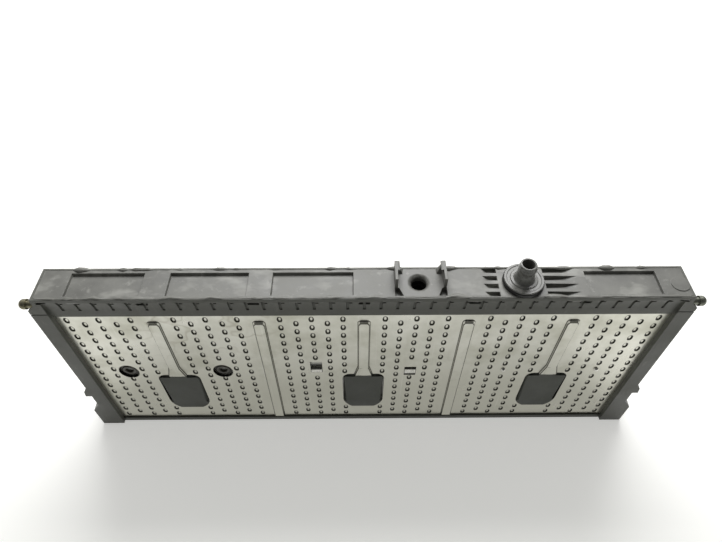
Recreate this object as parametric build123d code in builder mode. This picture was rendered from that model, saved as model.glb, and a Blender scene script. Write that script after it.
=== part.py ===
from build123d import *
import os

os.makedirs("parts", exist_ok=True)

# Upright battery module: X along the length, Y from front to back, Z up from the floor.
# The origin is on the floor, in the middle of the length and of the depth.

# frame
frame_width = 650.0
frame_height = 260.0
frame_depth = 40.0
rail_inset = 8.0
bar_width = 16.5
bottom_bar_height = 7.0
bottom_bar_setback = 4.0
top_wall_height = 31.0
top_wall_setback = 3.5
plate_recess = 6.0
cavity_lip = 3.0
rail_lip = 2.5
rail_thickness = 7.0
corner_drop = 17.0
corner_block = 23.0
joint_groove = 1.0
foot_reach = 10.0
foot_height = 36.0
foot_shoulder = 14.0
lug_bottom = 72.0
lug_height = 20.0
lug_reach = 7.0
lug_slant = 1.5
side_pocket_depth = 4.0
side_pocket_count = 4
side_pocket_edge = 5.0

# gussets under the front and rear edges of the rail
gusset_pitch = 16.3
gusset_slot = 2.6
gusset_depth = 1.2
cove_drop = 21.0
flange_thickness = 4.0
wide_notch = 11.0
wide_notch_height = 5.0
small_notch = 4.6
small_notch_height = 2.4
notch_drop = 6.5
corner_slot = 9.0
corner_slot_height = 3.0
corner_slot_drop = 3.5

# dimple field of the cold plate
panel_count = 6
end_trim = 8.6
dimple_columns = 5
dimple_pitch = 16.0
dimple_rows = 15
dimple_top_edge = 41.0
dimple_low_edge = 15.3
dimple_radius = 2.7
dimple_floor = 1.3
dimple_depth = 1.1
dimple_margin = 3.4

# cold plate
sheet_thickness = 1.5
coolant_gap = 1.5
plate_drop = 16.0
plate_bottom = 5.0
plate_clearance = 0.5
seam_width = 5.0
opening_seam = 3.4
ridge_width = 13.0
ridge_height = 2.5
ridge_drop = 43.0
ridge_draft = 30.0
neck_flare = 20.0
neck_flare_height = 14.0
neck_slope = 76.0

# windows and mid-height openings of the cold plate
window_width = 48.0
window_top = 111.0
window_bottom = 40.0
window_corner = 9.0
window_skirt = 13.0
tongue_width = 19.0
tongue_drop = 7.0
feature_height = 119.0
hole_radius = 11.0
slot_width = 13.0
slot_height = 21.0
rivet_radius = 3.0
block_clearance = 2.5
block_chamfer = 1.8
boss_bore = 4.5
boss_rim = 8.0
boss_bevel = 0.6
tab_gauge = 1.0
tab_bend = 3.0
tab_bend_inner = 3.4
tab_bend_back = 5.0
tab_gap = 1.0

# inside
rib_thickness = 4.0
carrier_wall = 3.0
carrier_drop = 34.0
carrier_bottom = 8.0
cell_thickness = 6.6
cell_clearance = 0.6
cell_corner = 3.0
tab_length = 20.0
cells_per_bay = 3
pad_thickness = 1.0
pad_margin = 6.0
pad_squeeze = 0.1
tab_width = 30.0
tab_thickness = 0.6
tab_spacing = 46.0
tab_margin = 2.0
busbar_thickness = 1.5
board_thickness = 1.6
board_inset = 25.0
board_depth = 8.0
board_y = -4.4
board_standoff = 3.0
stud_radius = 2.5
ribbon_thickness = 0.3
ribbon_overlap = 10.0

# coolant connections
nipple_place = 1.443
port_place = 0.496
nipple_bore = 6.0
nipple_outer = 8.0
nipple_height = 26.5
bead_radius = 8.9
bead_height = 21.0
flange_radius = 19.4
flange_plate = 2.6
flange_rim = 3.0
flange_step = 1.0
flange_bevel = 0.6
collar_inset = 7.0
collar_step = 2.4
collar_bevel = 0.8
root_bevel = 1.0
bead_half = 2.0
mouth_bevel = 0.6
ring_section = 1.5
ring_radius = 15.0
spigot_radius = 9.5
spigot_length = 15.0
port_radius = 7.7
port_sink = 2.2
manifold_width = 30.0
manifold_depth = 21.0
manifold_corner = 4.0
manifold_lip = 0.5
manifold_drop = 18.0
inlet_radius = 3.4
inlet_margin = 0.2

# pockets, louvres and clip ears on top of the rail
pocket_depth = 3.2
pocket_front = 2.5
pocket_back = 4.0
pocket_slope = 8.0
louvre_count = 4
louvre_pitch = 9.8
louvre_width = 5.6
louvre_depth = 4.6
louvre_shelf = 3.4
louvre_shelf_share = 0.6
left_louvre_near = 24.2
left_louvre_far = 38.7
right_louvre_near = 21.8
right_louvre_far = 54.3
ear_thickness = 2.8
ear_length = 24.0
ear_height = 12.8
ear_gap = 47.2
ear_offset = 1.4
ear_lip = 2.4
ear_lip_height = 1.6
brace_base = 5.6
brace_depth = 6.5
ear_slot_rear = 4.0
ear_slot_front = 8.0
ear_slot_length = 9.6
ear_slot_depth = 5.0
boss_radius = 8.9
boss_height = 0.8
boss_inset = 18.0
boss_y = -3.5

# corner pins
pin_radius = 3.8
pin_head = 5.2
pin_y = -14.8
pin_drop = 12.0
pin_depth = 12.0
pin_gap = 0.2
pin_dome = 7.5
dome_share = 0.85

# power terminals and sense header in the ends of the rear frame
terminal_radius = 7.0
terminal_bore = 2.6
terminal_drop = 19.0
terminal_thread = 10.0
riser_inset = 20.0
riser_depth = 12.0
riser_front = 0.2
riser_drop = 11.0
header_drop = 55.0
header_height = 24.0
header_depth = 12.0
header_pocket = 9.0
header_wall = 1.5
header_pins = 6
header_pin = 1.0
header_pin_length = 6.0
header_pin_pitch = 3.0
fit_clearance = 0.1

# places worked out from the values above
rail_width = frame_width - 2 * rail_inset
top_wall_bottom = frame_height - top_wall_height
corner_top = frame_height - corner_drop
corner_joint = frame_height - corner_block
cove_bottom = frame_height - cove_drop
plate_top = frame_height - plate_drop
ridge_top = frame_height - ridge_drop
carrier_top = frame_height - carrier_drop
cell_top = carrier_top - tab_length
terminal_z = frame_height - terminal_drop
riser_top = frame_height - riser_drop
header_z = frame_height - header_drop
pin_z = frame_height - pin_drop
dimple_top_row = frame_height - dimple_top_edge
dimple_row_pitch = (dimple_top_row - dimple_low_edge) / (dimple_rows - 1)
panel_pitch = (frame_width - end_trim) / panel_count
nipple_x = nipple_place * panel_pitch
port_x = port_place * panel_pitch
inlet_height = plate_top - seam_width - inlet_radius - inlet_margin
manifold_foot = inlet_height - inlet_radius - manifold_lip
lug_top = lug_bottom + lug_height
side_pocket_pitch = (terminal_z - terminal_radius - lug_top - side_pocket_edge) / side_pocket_count
side_pocket_length = side_pocket_pitch - side_pocket_edge
half_depth = frame_depth / 2
half_width = frame_width / 2
half_rail = rail_width / 2
pin_inner = half_width - pin_depth
pin_shoulder = half_width + pin_gap
riser_x = half_width - riser_inset
board_right = half_width - board_inset
boss_x = half_width - boss_inset
opening_half = half_width - bar_width
opening_height = top_wall_bottom - bottom_bar_height
opening_middle = (top_wall_bottom + bottom_bar_height) / 2
rail_seat = frame_height - rail_thickness
face_y = half_depth - plate_recess
cavity_half = opening_half + cavity_lip
gap_y = face_y - sheet_thickness
inner_sheet_y = gap_y - coolant_gap
cell_front_y = inner_sheet_y - sheet_thickness
rear_sheet_y = face_y - sheet_thickness
plate_half = cavity_half - plate_clearance
plate_height = plate_top - plate_bottom
plate_middle = (plate_top + plate_bottom) / 2
boundaries = [(i - panel_count / 2) * panel_pitch for i in range(1, panel_count)]
window_places = boundaries[::2]
rail_pockets = [(-2.35, 0.67), (-1.42, 0.72), (-0.47, 0.74), (2.36, 0.66)]
panel_centres = [(i - (panel_count - 1) / 2) * panel_pitch for i in range(panel_count)]
hole_places = panel_centres[:2]
slot_places = panel_centres[2:4]
rivet_places = panel_centres[4:]


def window_outline(inset):
    # window shape: square shoulders, sloping skirt and a tongue at the bottom
    half = window_width / 2 - inset
    tongue = tongue_width / 2 - inset
    low = window_bottom - tongue_drop + inset
    skirt = window_bottom + inset
    with BuildSketch() as outline:
        with BuildLine():
            Polyline(
                (-half, window_top - inset), (half, window_top - inset),
                (half, skirt + window_skirt), (half - window_skirt / 2, skirt + inset / 2),
                (tongue, skirt), (tongue, low), (-tongue, low), (-tongue, skirt),
                (-half + window_skirt / 2, skirt + inset / 2), (-half, skirt + window_skirt),
                close=True,
            )
        make_face()
        top_corners = outline.vertices().group_by(Axis.Y)[-1]
        chamfer(top_corners, length=window_corner - inset)
    return outline.sketch


def add_openings(margin, mode):
    # windows, holes and slots of the cold plate, each grown by a margin, for the sketch in progress
    window = window_outline(-margin)
    for place in window_places:
        with Locations((place, 0)):
            add(window, mode=mode)
    with Locations(*[(x, feature_height) for x in hole_places]):
        Circle(hole_radius + margin, mode=mode)
    with Locations(*[(x, feature_height) for x in slot_places]):
        Rectangle(slot_width + 2 * margin, slot_height + 2 * margin, mode=mode)


def near_window(x, z):
    # true where a dimple would meet a window
    for place in window_places:
        inside_x = abs(x - place) < window_width / 2 + dimple_margin
        inside_z = window_bottom - tongue_drop < z < window_top + dimple_margin
        low_corner = z < window_bottom - dimple_margin and abs(x - place) > tongue_width / 2 + dimple_margin
        if inside_x and inside_z and not low_corner:
            return True
    return False


def near_feature(x, z):
    # true where a dimple would meet a hole, a slot or a rivet
    reach = {}
    reach.update({place: hole_radius for place in hole_places})
    reach.update({place: slot_height / 2 for place in slot_places})
    reach.update({place: rivet_radius for place in rivet_places})
    for place, size in reach.items():
        if (x - place) ** 2 + (z - feature_height) ** 2 < (size + dimple_margin) ** 2:
            return True
    return False


def dimple_places():
    # staggered rows: odd columns sit half a row lower
    places = []
    for centre in panel_centres:
        for column in range(dimple_columns):
            x = centre + (column - (dimple_columns - 1) / 2) * dimple_pitch
            low = column % 2
            for row in range(dimple_rows - low):
                z = dimple_top_row - (row + low / 2) * dimple_row_pitch
                if not near_window(x, z) and not near_feature(x, z):
                    places.append((x, z))
    return places


# half frame, the front one; the rear one is its mirror image
with BuildPart() as half_frame:
    with BuildSketch(Plane.XZ):
        with BuildLine():
            Polyline(
                (0, 0), (half_width + foot_reach, 0), (half_width + foot_reach, foot_height),
                (half_width, foot_height + foot_shoulder), (half_width, lug_bottom),
                (half_width + lug_reach, lug_bottom),
                (half_width + lug_reach - lug_slant, lug_bottom + lug_height / 2),
                (half_width, lug_top), (half_width, corner_top),
                (half_rail, corner_top + half_width - half_rail), (half_rail, frame_height),
                (0, frame_height), close=True,
            )
        make_face()
        mirror(about=Plane.YZ)
    extrude(amount=half_depth)
    # the big opening for the cold plate
    with BuildSketch(Plane.XZ):
        with Locations((0, opening_middle)):
            Rectangle(2 * opening_half, opening_height)
    extrude(amount=half_depth, mode=Mode.SUBTRACT)
    # the cavity behind the lips, open at the top for the rail
    with BuildSketch(Plane.XZ):
        with Locations((0, plate_bottom - plate_clearance)):
            Rectangle(
                2 * cavity_half, rail_seat - plate_bottom + plate_clearance, align=(Align.CENTER, Align.MIN)
            )
    extrude(amount=face_y, mode=Mode.SUBTRACT)
    # the seat of the rail
    with BuildSketch(Plane.XY.offset(rail_seat)):
        Rectangle(rail_width - 2 * rail_lip, frame_depth - 2 * rail_lip)
    extrude(amount=rail_thickness, mode=Mode.SUBTRACT)
    # set back the bottom bar
    with BuildSketch(Plane.XZ.offset(half_depth)):
        Rectangle(2 * opening_half, bottom_bar_height, align=(Align.CENTER, Align.MIN))
    extrude(amount=-bottom_bar_setback, mode=Mode.SUBTRACT)
    # cove that runs from the set-back wall out to the flange
    with BuildSketch(Plane.YZ.offset(-opening_half)):
        with BuildLine():
            wall_y = -half_depth + top_wall_setback
            cove = TangentArc(
                (wall_y, cove_bottom), (-half_depth, frame_height - flange_thickness), tangent=(0, 1)
            )
            Polyline(cove @ 1, (-half_depth, top_wall_bottom), (wall_y, top_wall_bottom), cove @ 0)
        make_face()
    extrude(amount=2 * opening_half, mode=Mode.SUBTRACT)
    # slots between the gussets, and a wide notch under each cross rib
    slot_count = int(2 * opening_half / gusset_pitch)
    slot_height_z = frame_height - flange_thickness - cove_bottom
    with BuildSketch(Plane.XZ.offset(half_depth)):
        with Locations((0, cove_bottom)):
            with GridLocations(gusset_pitch, 1, slot_count, 1):
                Rectangle(gusset_slot, slot_height_z, align=(Align.CENTER, Align.MIN))
        with Locations((0, frame_height - notch_drop)):
            with GridLocations(gusset_pitch, 1, slot_count, 1):
                Rectangle(small_notch, small_notch_height, align=(Align.MIN, Align.MAX))
        with Locations(*[(x, frame_height - notch_drop) for x in boundaries]):
            Rectangle(wide_notch, wide_notch_height, align=(Align.CENTER, Align.MAX))
    extrude(amount=-top_wall_setback - gusset_depth, mode=Mode.SUBTRACT)
    # short slot over each corner block
    with BuildSketch(Plane.XZ.offset(half_depth)):
        with Locations((-half_rail + corner_slot, frame_height - corner_slot_drop),
                       (half_rail - corner_slot, frame_height - corner_slot_drop)):
            Rectangle(corner_slot, corner_slot_height, align=(Align.CENTER, Align.MAX))
    extrude(amount=-rail_lip + fit_clearance, mode=Mode.SUBTRACT)
    # pockets that lighten the outer face of each side bar
    for side in (-1, 1):
        with BuildSketch(Plane.YZ.offset(side * (half_width - side_pocket_depth))):
            with Locations((-half_depth / 2, (lug_top + terminal_z - terminal_radius) / 2)):
                with GridLocations(1, side_pocket_pitch, 1, side_pocket_count):
                    Rectangle(half_depth - 2 * side_pocket_edge, side_pocket_length)
        extrude(amount=side * 2 * side_pocket_depth, mode=Mode.SUBTRACT)

    # half bores for the power terminals, at the parting plane
    for side in (-1, 1):
        with BuildSketch(Plane.YZ.offset(side * cavity_half)):
            with Locations((0, terminal_z)):
                Circle(terminal_radius)
        extrude(amount=side * bar_width, mode=Mode.SUBTRACT)

with BuildPart() as front_frame:
    add(half_frame.part)
    # joint line under each corner block
    with BuildSketch(Plane.XZ.offset(half_depth)):
        with Locations((-half_width, corner_joint), (half_width, corner_joint)):
            Rectangle(2 * bar_width, joint_groove)
    extrude(amount=-joint_groove, mode=Mode.SUBTRACT)
    # open grooves that hold the corner pins
    for side in (-1, 1):
        with BuildSketch(Plane.YZ.offset(side * (pin_inner - fit_clearance))):
            with Locations((pin_y, pin_z)):
                Circle(pin_radius + fit_clearance)
        extrude(amount=side * bar_width * 2, mode=Mode.SUBTRACT)
front_frame.part.label = "front_frame"
export_step(front_frame.part, "parts/front_frame.step")

with BuildPart() as rear_frame:
    mirror(half_frame.part, about=Plane.XZ)
    # opening for the sense header in the left end
    with BuildSketch(Plane.YZ.offset(-cavity_half)):
        with Locations((half_depth / 2, header_z)):
            Rectangle(header_depth, header_height)
    extrude(amount=-bar_width, mode=Mode.SUBTRACT)
rear_frame.part.label = "rear_frame"
export_step(rear_frame.part, "parts/rear_frame.step")

# recess of one louvre: deep next to the nipple, a shelf, then a ramp up to the face
left_shelf = left_louvre_near + louvre_shelf_share * (left_louvre_far - left_louvre_near)
right_shelf = right_louvre_near + louvre_shelf_share * (right_louvre_far - right_louvre_near)
louvres = []
for side, near, shelf, far in ((-1, left_louvre_near, left_shelf, left_louvre_far),
                               (1, right_louvre_near, right_shelf, right_louvre_far)):
    with BuildPart() as louvre:
        with BuildSketch(Plane.XZ):
            with BuildLine():
                Polyline(
                    (side * near, louvre_shelf), (side * near, -louvre_depth), (side * shelf, -louvre_shelf),
                    (side * far, 0), (side * far, louvre_shelf), close=True,
                )
            make_face()
        extrude(amount=louvre_width / 2, both=True)
    louvres.append(louvre.part)

# braces behind the clip ears: they fall from the top of an ear inwards and forwards
ear_back = half_depth - rail_lip
braces = {}
for side in (-1, 1):
    ear_x = port_x + ear_offset + side * ear_gap / 2
    brace_foot = ear_x - side * (ear_thickness / 2 + brace_base)
    with BuildPart() as brace:
        with BuildSketch(Plane.XZ.offset(-ear_back)):
            with BuildLine():
                Polyline(
                    (ear_x, frame_height + ear_height), (brace_foot, frame_height), (ear_x, frame_height),
                    close=True,
                )
            make_face()
        extrude(amount=brace_depth)
        with BuildSketch(Plane.YZ.offset(port_x - ear_gap)):
            with BuildLine():
                Polyline(
                    (ear_back, frame_height + ear_height), (ear_back - brace_depth, frame_height),
                    (ear_back, frame_height), close=True,
                )
            make_face()
        extrude(amount=2 * ear_gap, mode=Mode.INTERSECT)
    braces[side] = brace.part

# rail on top of both halves
half_cap = half_rail - rail_lip
half_cap_depth = half_depth - rail_lip
pocket_middle_y = (pocket_front - pocket_back) / 2
pocket_length_y = 2 * half_cap_depth - pocket_front - pocket_back
with BuildPart() as top_rail:
    with BuildSketch(Plane.XY.offset(rail_seat)):
        Rectangle(2 * half_cap, 2 * half_cap_depth)
    extrude(amount=rail_thickness)
    # shallow pockets between the cross ribs
    for place, length in rail_pockets:
        with BuildSketch(Plane.XY.offset(frame_height)):
            with Locations((place * panel_pitch, pocket_middle_y)):
                Rectangle(length * panel_pitch, pocket_length_y)
        extrude(amount=-pocket_depth, taper=pocket_slope, mode=Mode.SUBTRACT)
    # ramped louvres on both sides of the nipple
    with Locations((nipple_x, 0, frame_height)):
        with GridLocations(1, louvre_pitch, 1, louvre_count):
            add(louvres, mode=Mode.SUBTRACT)
    # clip ears beside the port: plate, lip, brace at the back and a blind slot in front
    ear_front = ear_back - ear_length
    for side in (-1, 1):
        ear_x = port_x + ear_offset + side * ear_gap / 2
        ear_inner = ear_x - side * ear_thickness / 2
        ear_outer = ear_x + side * ear_thickness / 2
        with BuildSketch(Plane.XY.offset(frame_height)):
            with Locations((ear_x, ear_back)):
                Rectangle(ear_thickness, ear_length, align=(Align.CENTER, Align.MAX))
        extrude(amount=ear_height)
        with BuildSketch(Plane.XZ.offset(-ear_back)):
            with BuildLine():
                Polyline(
                    (ear_outer, frame_height + ear_height), (ear_inner, frame_height + ear_height),
                    (ear_inner - side * ear_lip, frame_height + ear_height - ear_lip_height / 2),
                    (ear_inner - side * ear_lip, frame_height + ear_height - ear_lip_height),
                    (ear_inner, frame_height + ear_height - 2 * ear_lip_height),
                    (ear_outer, frame_height + ear_height - 2 * ear_lip_height), close=True,
                )
            make_face()
        extrude(amount=ear_length / 2)
        add(braces[side], mode=Mode.ADD)
        with BuildSketch(Plane.XY.offset(frame_height)):
            with BuildLine():
                Polyline(
                    (ear_outer, ear_front), (ear_outer - side * ear_slot_rear, ear_front),
                    (ear_outer - side * ear_slot_front, ear_front - ear_slot_length),
                    (ear_outer, ear_front - ear_slot_length), close=True,
                )
            make_face()
        extrude(amount=-ear_slot_depth, mode=Mode.SUBTRACT)
    # openings for the two coolant connections
    with Locations((nipple_x, 0, frame_height)):
        Hole(spigot_radius + fit_clearance, depth=rail_thickness)
    with Locations((port_x, 0, frame_height)):
        CounterSinkHole(port_radius, port_radius + port_sink, depth=rail_thickness)
    # round boss on the right end block
    with BuildSketch(Plane.XY.offset(frame_height)):
        with Locations((boss_x, boss_y)):
            Circle(boss_radius)
    extrude(amount=boss_height)
top_rail.part.label = "top_rail"
export_step(top_rail.part, "parts/top_rail.step")

# one coined dimple, six-sided, wide at the face of the sheet
with BuildPart() as dimple:
    with BuildSketch(Plane.XZ):
        RegularPolygon(dimple_radius, 6)
    with BuildSketch(Plane.XZ.offset(-dimple_depth)):
        RegularPolygon(dimple_floor, 6)
    loft()

# outer sheet of the cold plate: dimples, raised ridges and openings
with BuildPart() as cold_plate_outer:
    with BuildSketch(Plane.XZ.offset(gap_y)):
        with Locations((0, plate_middle)):
            Rectangle(2 * plate_half, plate_height)
    extrude(amount=sheet_thickness)
    # rim that closes the coolant gap
    with BuildSketch(Plane.XZ.offset(gap_y)):
        with Locations((0, plate_middle)):
            Rectangle(2 * plate_half, plate_height)
            Rectangle(2 * plate_half - 2 * seam_width, plate_height - 2 * seam_width, mode=Mode.SUBTRACT)
        add_openings(opening_seam, Mode.ADD)
    extrude(amount=-coolant_gap)
    # raised ridges, with necks that flare above the windows
    with BuildSketch(Plane.XZ.offset(face_y)):
        for place in boundaries:
            with Locations((place, plate_bottom + seam_width)):
                Rectangle(ridge_width, ridge_top - plate_bottom - seam_width - ridge_width / 2,
                          align=(Align.CENTER, Align.MIN))
            with Locations((place, ridge_top - ridge_width / 2)):
                Circle(ridge_width / 2)
        for place in window_places:
            with Locations((place, window_top)):
                Trapezoid(neck_flare, neck_flare_height, neck_slope, align=(Align.CENTER, Align.MIN))
    extrude(amount=ridge_height, taper=ridge_draft)
    # windows, holes and slots
    with BuildSketch(Plane.XZ.offset(inner_sheet_y)):
        add_openings(0, Mode.ADD)
    extrude(amount=plate_recess + sheet_thickness + coolant_gap, mode=Mode.SUBTRACT)
    with Locations(*[(x, -face_y, z) for x, z in dimple_places()]):
        add(dimple.part, mode=Mode.SUBTRACT)
cold_plate_outer.part.label = "cold_plate_outer"
export_step(cold_plate_outer.part, "parts/cold_plate_outer.step")

# inner sheet of the cold plate, flat, with a hole to each coolant manifold
with BuildPart() as cold_plate_inner:
    with BuildSketch(Plane.XZ.offset(cell_front_y)):
        with Locations((0, plate_middle)):
            Rectangle(2 * plate_half, plate_height)
        add_openings(0, Mode.SUBTRACT)
        with Locations((nipple_x, inlet_height), (port_x, inlet_height)):
            Circle(inlet_radius, mode=Mode.SUBTRACT)
    extrude(amount=sheet_thickness)
cold_plate_inner.part.label = "cold_plate_inner"
export_step(cold_plate_inner.part, "parts/cold_plate_inner.step")

# plain rear sheet with one stiffening bead on each rib
with BuildPart() as rear_plate:
    with BuildSketch(Plane.XZ.offset(-face_y)):
        with Locations((0, plate_middle)):
            Rectangle(2 * plate_half, plate_height)
    extrude(amount=sheet_thickness)
    with BuildSketch(Plane.XZ.offset(-face_y)):
        for place in boundaries:
            with Locations((place, (ridge_top + plate_bottom + seam_width) / 2)):
                SlotOverall(ridge_top - plate_bottom - seam_width, ridge_width, rotation=90)
    extrude(amount=-ridge_height, taper=ridge_draft)
rear_plate.part.label = "rear_plate"
export_step(rear_plate.part, "parts/rear_plate.step")

# cell carrier: ring, ribs and the blocks that fill the windows
stack_depth = cell_front_y + rear_sheet_y
bay_edges = [-plate_half + carrier_wall - rib_thickness / 2] + boundaries
bay_edges.append(plate_half - carrier_wall + rib_thickness / 2)
bays = [(bay_edges[i] + bay_edges[i + 1]) / 2 for i in range(panel_count)]
cell_width = bay_edges[1] - bay_edges[0] - rib_thickness - 2 * cell_clearance
tab_places = [x + side * tab_spacing / 2 for x in bays for side in (-1, 1)]
block_outline = window_outline(block_clearance)
with BuildPart() as carrier:
    with BuildSketch(Plane.XZ.offset(cell_front_y)):
        with Locations((0, carrier_bottom)):
            Rectangle(2 * plate_half, carrier_top - carrier_bottom, align=(Align.CENTER, Align.MIN))
        with Locations((0, carrier_bottom + carrier_wall)):
            Rectangle(2 * plate_half - 2 * carrier_wall, carrier_top - carrier_bottom - 2 * carrier_wall,
                      align=(Align.CENTER, Align.MIN), mode=Mode.SUBTRACT)
        with Locations(*[(x, carrier_bottom) for x in boundaries]):
            Rectangle(rib_thickness, carrier_top - carrier_bottom, align=(Align.CENTER, Align.MIN))
    extrude(amount=-stack_depth)
    # openings that the cell tabs pass through
    with BuildSketch(Plane.XY.offset(carrier_top)):
        with Locations(*[(x, (rear_sheet_y - cell_front_y) / 2) for x in tab_places]):
            Rectangle(tab_width + tab_margin, stack_depth - carrier_wall)
    extrude(amount=-carrier_wall, mode=Mode.SUBTRACT)
    # blocks in the windows of the cold plate
    for place in window_places:
        with BuildSketch(Plane.XZ.offset(cell_front_y)):
            with Locations((place, 0)):
                add(block_outline)
            with Locations((place, window_bottom + block_clearance)):
                Rectangle(window_width, tongue_drop + block_clearance, align=(Align.CENTER, Align.MAX),
                          mode=Mode.SUBTRACT)
        extrude(amount=face_y - cell_front_y)
    front_faces = carrier.faces().sort_by(Axis.Y)[: len(window_places)]
    chamfer(front_faces.edges(), length=block_chamfer)
    # studs under the sense board
    with BuildSketch(Plane.XY.offset(carrier_top)):
        with Locations(*[(x, board_y) for x in bays]):
            Circle(stud_radius)
    extrude(amount=board_standoff)
carrier.part.label = "cell_carrier"
export_step(carrier.part, "parts/cell_carrier.step")

# pouch cells, three side by side in each bay, with both tabs at the top
cell_bottom = carrier_bottom + carrier_wall
cell_pitch = cell_thickness + pad_thickness
for bay, bay_x in enumerate(bays):
    for layer in range(cells_per_bay):
        cell_y = -cell_front_y + pad_squeeze + cell_thickness / 2 + layer * cell_pitch
        with BuildPart() as cell:
            with BuildSketch(Plane.XZ.offset(-cell_y)):
                with Locations((bay_x, cell_bottom)):
                    Rectangle(cell_width, cell_top - cell_bottom, align=(Align.CENTER, Align.MIN))
                chamfer(vertices(), length=cell_corner)
            extrude(amount=cell_thickness / 2, both=True)
            with BuildSketch(Plane.XZ.offset(-cell_y)):
                with Locations(*[(bay_x + side * tab_spacing / 2, cell_top) for side in (-1, 1)]):
                    Rectangle(tab_width, carrier_top - cell_top, align=(Align.CENTER, Align.MIN))
            extrude(amount=tab_thickness / 2, both=True)
        cell.part.label = f"cell_{bay + 1}_{layer + 1}"
        export_step(cell.part, f"parts/cell_{bay + 1}_{layer + 1}.step")

# foam pads between the cells of each bay
for bay, bay_x in enumerate(bays):
    with BuildPart() as foam_pads:
        for layer in range(1, cells_per_bay):
            pad_y = -cell_front_y + pad_squeeze + layer * cell_pitch - pad_thickness
            with BuildSketch(Plane.XZ.offset(-pad_y)):
                with Locations((bay_x, (cell_bottom + cell_top) / 2)):
                    RectangleRounded(cell_width - 2 * pad_margin, cell_top - cell_bottom - 2 * pad_margin, 4)
            extrude(amount=-pad_thickness)
    foam_pads.part.label = f"foam_pads_{bay + 1}"
    export_step(foam_pads.part, f"parts/foam_pads_{bay + 1}.step")

# busbars that link each bay to the next one
for link in range(panel_count - 1):
    first_tab = bays[link] + tab_spacing / 2
    last_tab = bays[link + 1] - tab_spacing / 2
    with BuildPart() as busbar:
        with BuildSketch(Plane.XY.offset(carrier_top)):
            with Locations(((first_tab + last_tab) / 2, (rear_sheet_y - cell_front_y) / 2)):
                RectangleRounded(last_tab - first_tab + tab_width + 2 * tab_margin, stack_depth - 2, 2)
        extrude(amount=busbar_thickness)
    busbar.part.label = f"link_busbar_{link + 1}"
    export_step(busbar.part, f"parts/link_busbar_{link + 1}.step")

# end busbars with a riser, and the threaded terminal inserts in the end walls
for name, side, bay_x in (("left", -1, bays[0]), ("right", 1, bays[-1])):
    end_tab = bay_x + side * tab_spacing / 2
    with BuildPart() as end_busbar:
        with BuildSketch(Plane.XZ.offset(-riser_front - riser_depth)):
            with BuildLine():
                Polyline(
                    (end_tab - side * (tab_width / 2 + tab_margin), carrier_top),
                    (side * riser_x, carrier_top),
                    (side * riser_x, riser_top), (side * (riser_x - busbar_thickness), riser_top),
                    (side * (riser_x - busbar_thickness), carrier_top + busbar_thickness),
                    (end_tab - side * (tab_width / 2 + tab_margin), carrier_top + busbar_thickness),
                    close=True,
                )
            make_face()
        extrude(amount=riser_depth)
        with BuildSketch(Plane.XY.offset(carrier_top)):
            with Locations((end_tab, (rear_sheet_y - cell_front_y) / 2)):
                Rectangle(tab_width + 2 * tab_margin, stack_depth - 2)
        extrude(amount=busbar_thickness)
    end_busbar.part.label = f"{name}_end_busbar"
    export_step(end_busbar.part, f"parts/{name}_end_busbar.step")
    with BuildPart() as terminal:
        with BuildSketch(Plane.YZ.offset(side * riser_x)):
            with Locations((0, terminal_z)):
                Circle(terminal_radius - fit_clearance)
        extrude(amount=side * (half_width - riser_x))
        with BuildSketch(Plane.YZ.offset(side * half_width)):
            with Locations((0, terminal_z)):
                Circle(terminal_bore)
        extrude(amount=-side * terminal_thread, mode=Mode.SUBTRACT)
    terminal.part.label = f"{name}_terminal"
    export_step(terminal.part, f"parts/{name}_terminal.step")

# sense board over the busbars
board_bottom = carrier_top + board_standoff
with BuildPart() as sense_board:
    with BuildSketch(Plane.XY.offset(board_bottom)):
        with Locations((-board_right, board_y)):
            Rectangle(2 * board_right, board_depth, align=(Align.MIN, Align.CENTER))
    extrude(amount=board_thickness)
sense_board.part.label = "sense_board"
export_step(sense_board.part, "parts/sense_board.step")

# flexible ribbon from the board down to the header
board_top = board_bottom + board_thickness
ribbon_outer = -plate_half - plate_clearance + fit_clearance
with BuildPart() as sense_ribbon:
    with BuildSketch(Plane.XZ.offset(-board_y - board_depth / 2)):
        with BuildLine():
            Polyline(
                (-board_right + ribbon_overlap, board_top), (ribbon_outer + ribbon_thickness, board_top),
                (ribbon_outer + ribbon_thickness, header_z), (ribbon_outer, header_z),
                (ribbon_outer, board_top + ribbon_thickness),
                (-board_right + ribbon_overlap, board_top + ribbon_thickness), close=True,
            )
        make_face()
    extrude(amount=board_depth)
    with BuildSketch(Plane.YZ.offset(ribbon_outer)):
        with Locations((board_y, header_z)):
            Rectangle(half_depth / 2 - board_y, header_height, align=(Align.MIN, Align.CENTER))
    extrude(amount=ribbon_thickness)
sense_ribbon.part.label = "sense_ribbon"
export_step(sense_ribbon.part, "parts/sense_ribbon.step")

# sense header in the left end, with its contact pins
with BuildPart() as sense_header:
    with BuildSketch(Plane.YZ.offset(-cavity_half)):
        with Locations((half_depth / 2, header_z)):
            Rectangle(header_depth - 2 * fit_clearance, header_height - 2 * fit_clearance)
    extrude(amount=-(half_width - cavity_half))
    with BuildSketch(Plane.YZ.offset(-half_width)):
        with Locations((half_depth / 2, header_z)):
            Rectangle(header_depth - 2 * header_wall, header_height - 2 * header_wall)
    extrude(amount=header_pocket, mode=Mode.SUBTRACT)
sense_header.part.label = "sense_header"
export_step(sense_header.part, "parts/sense_header.step")
with BuildPart() as header_contacts:
    with BuildSketch(Plane.YZ.offset(-half_width + header_pocket)):
        with Locations((half_depth / 2, header_z)):
            with GridLocations(header_pin_pitch, header_pin_pitch, 2, header_pins):
                Rectangle(header_pin, header_pin)
    extrude(amount=-header_pin_length)
header_contacts.part.label = "header_contacts"
export_step(header_contacts.part, "parts/header_contacts.step")

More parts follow.
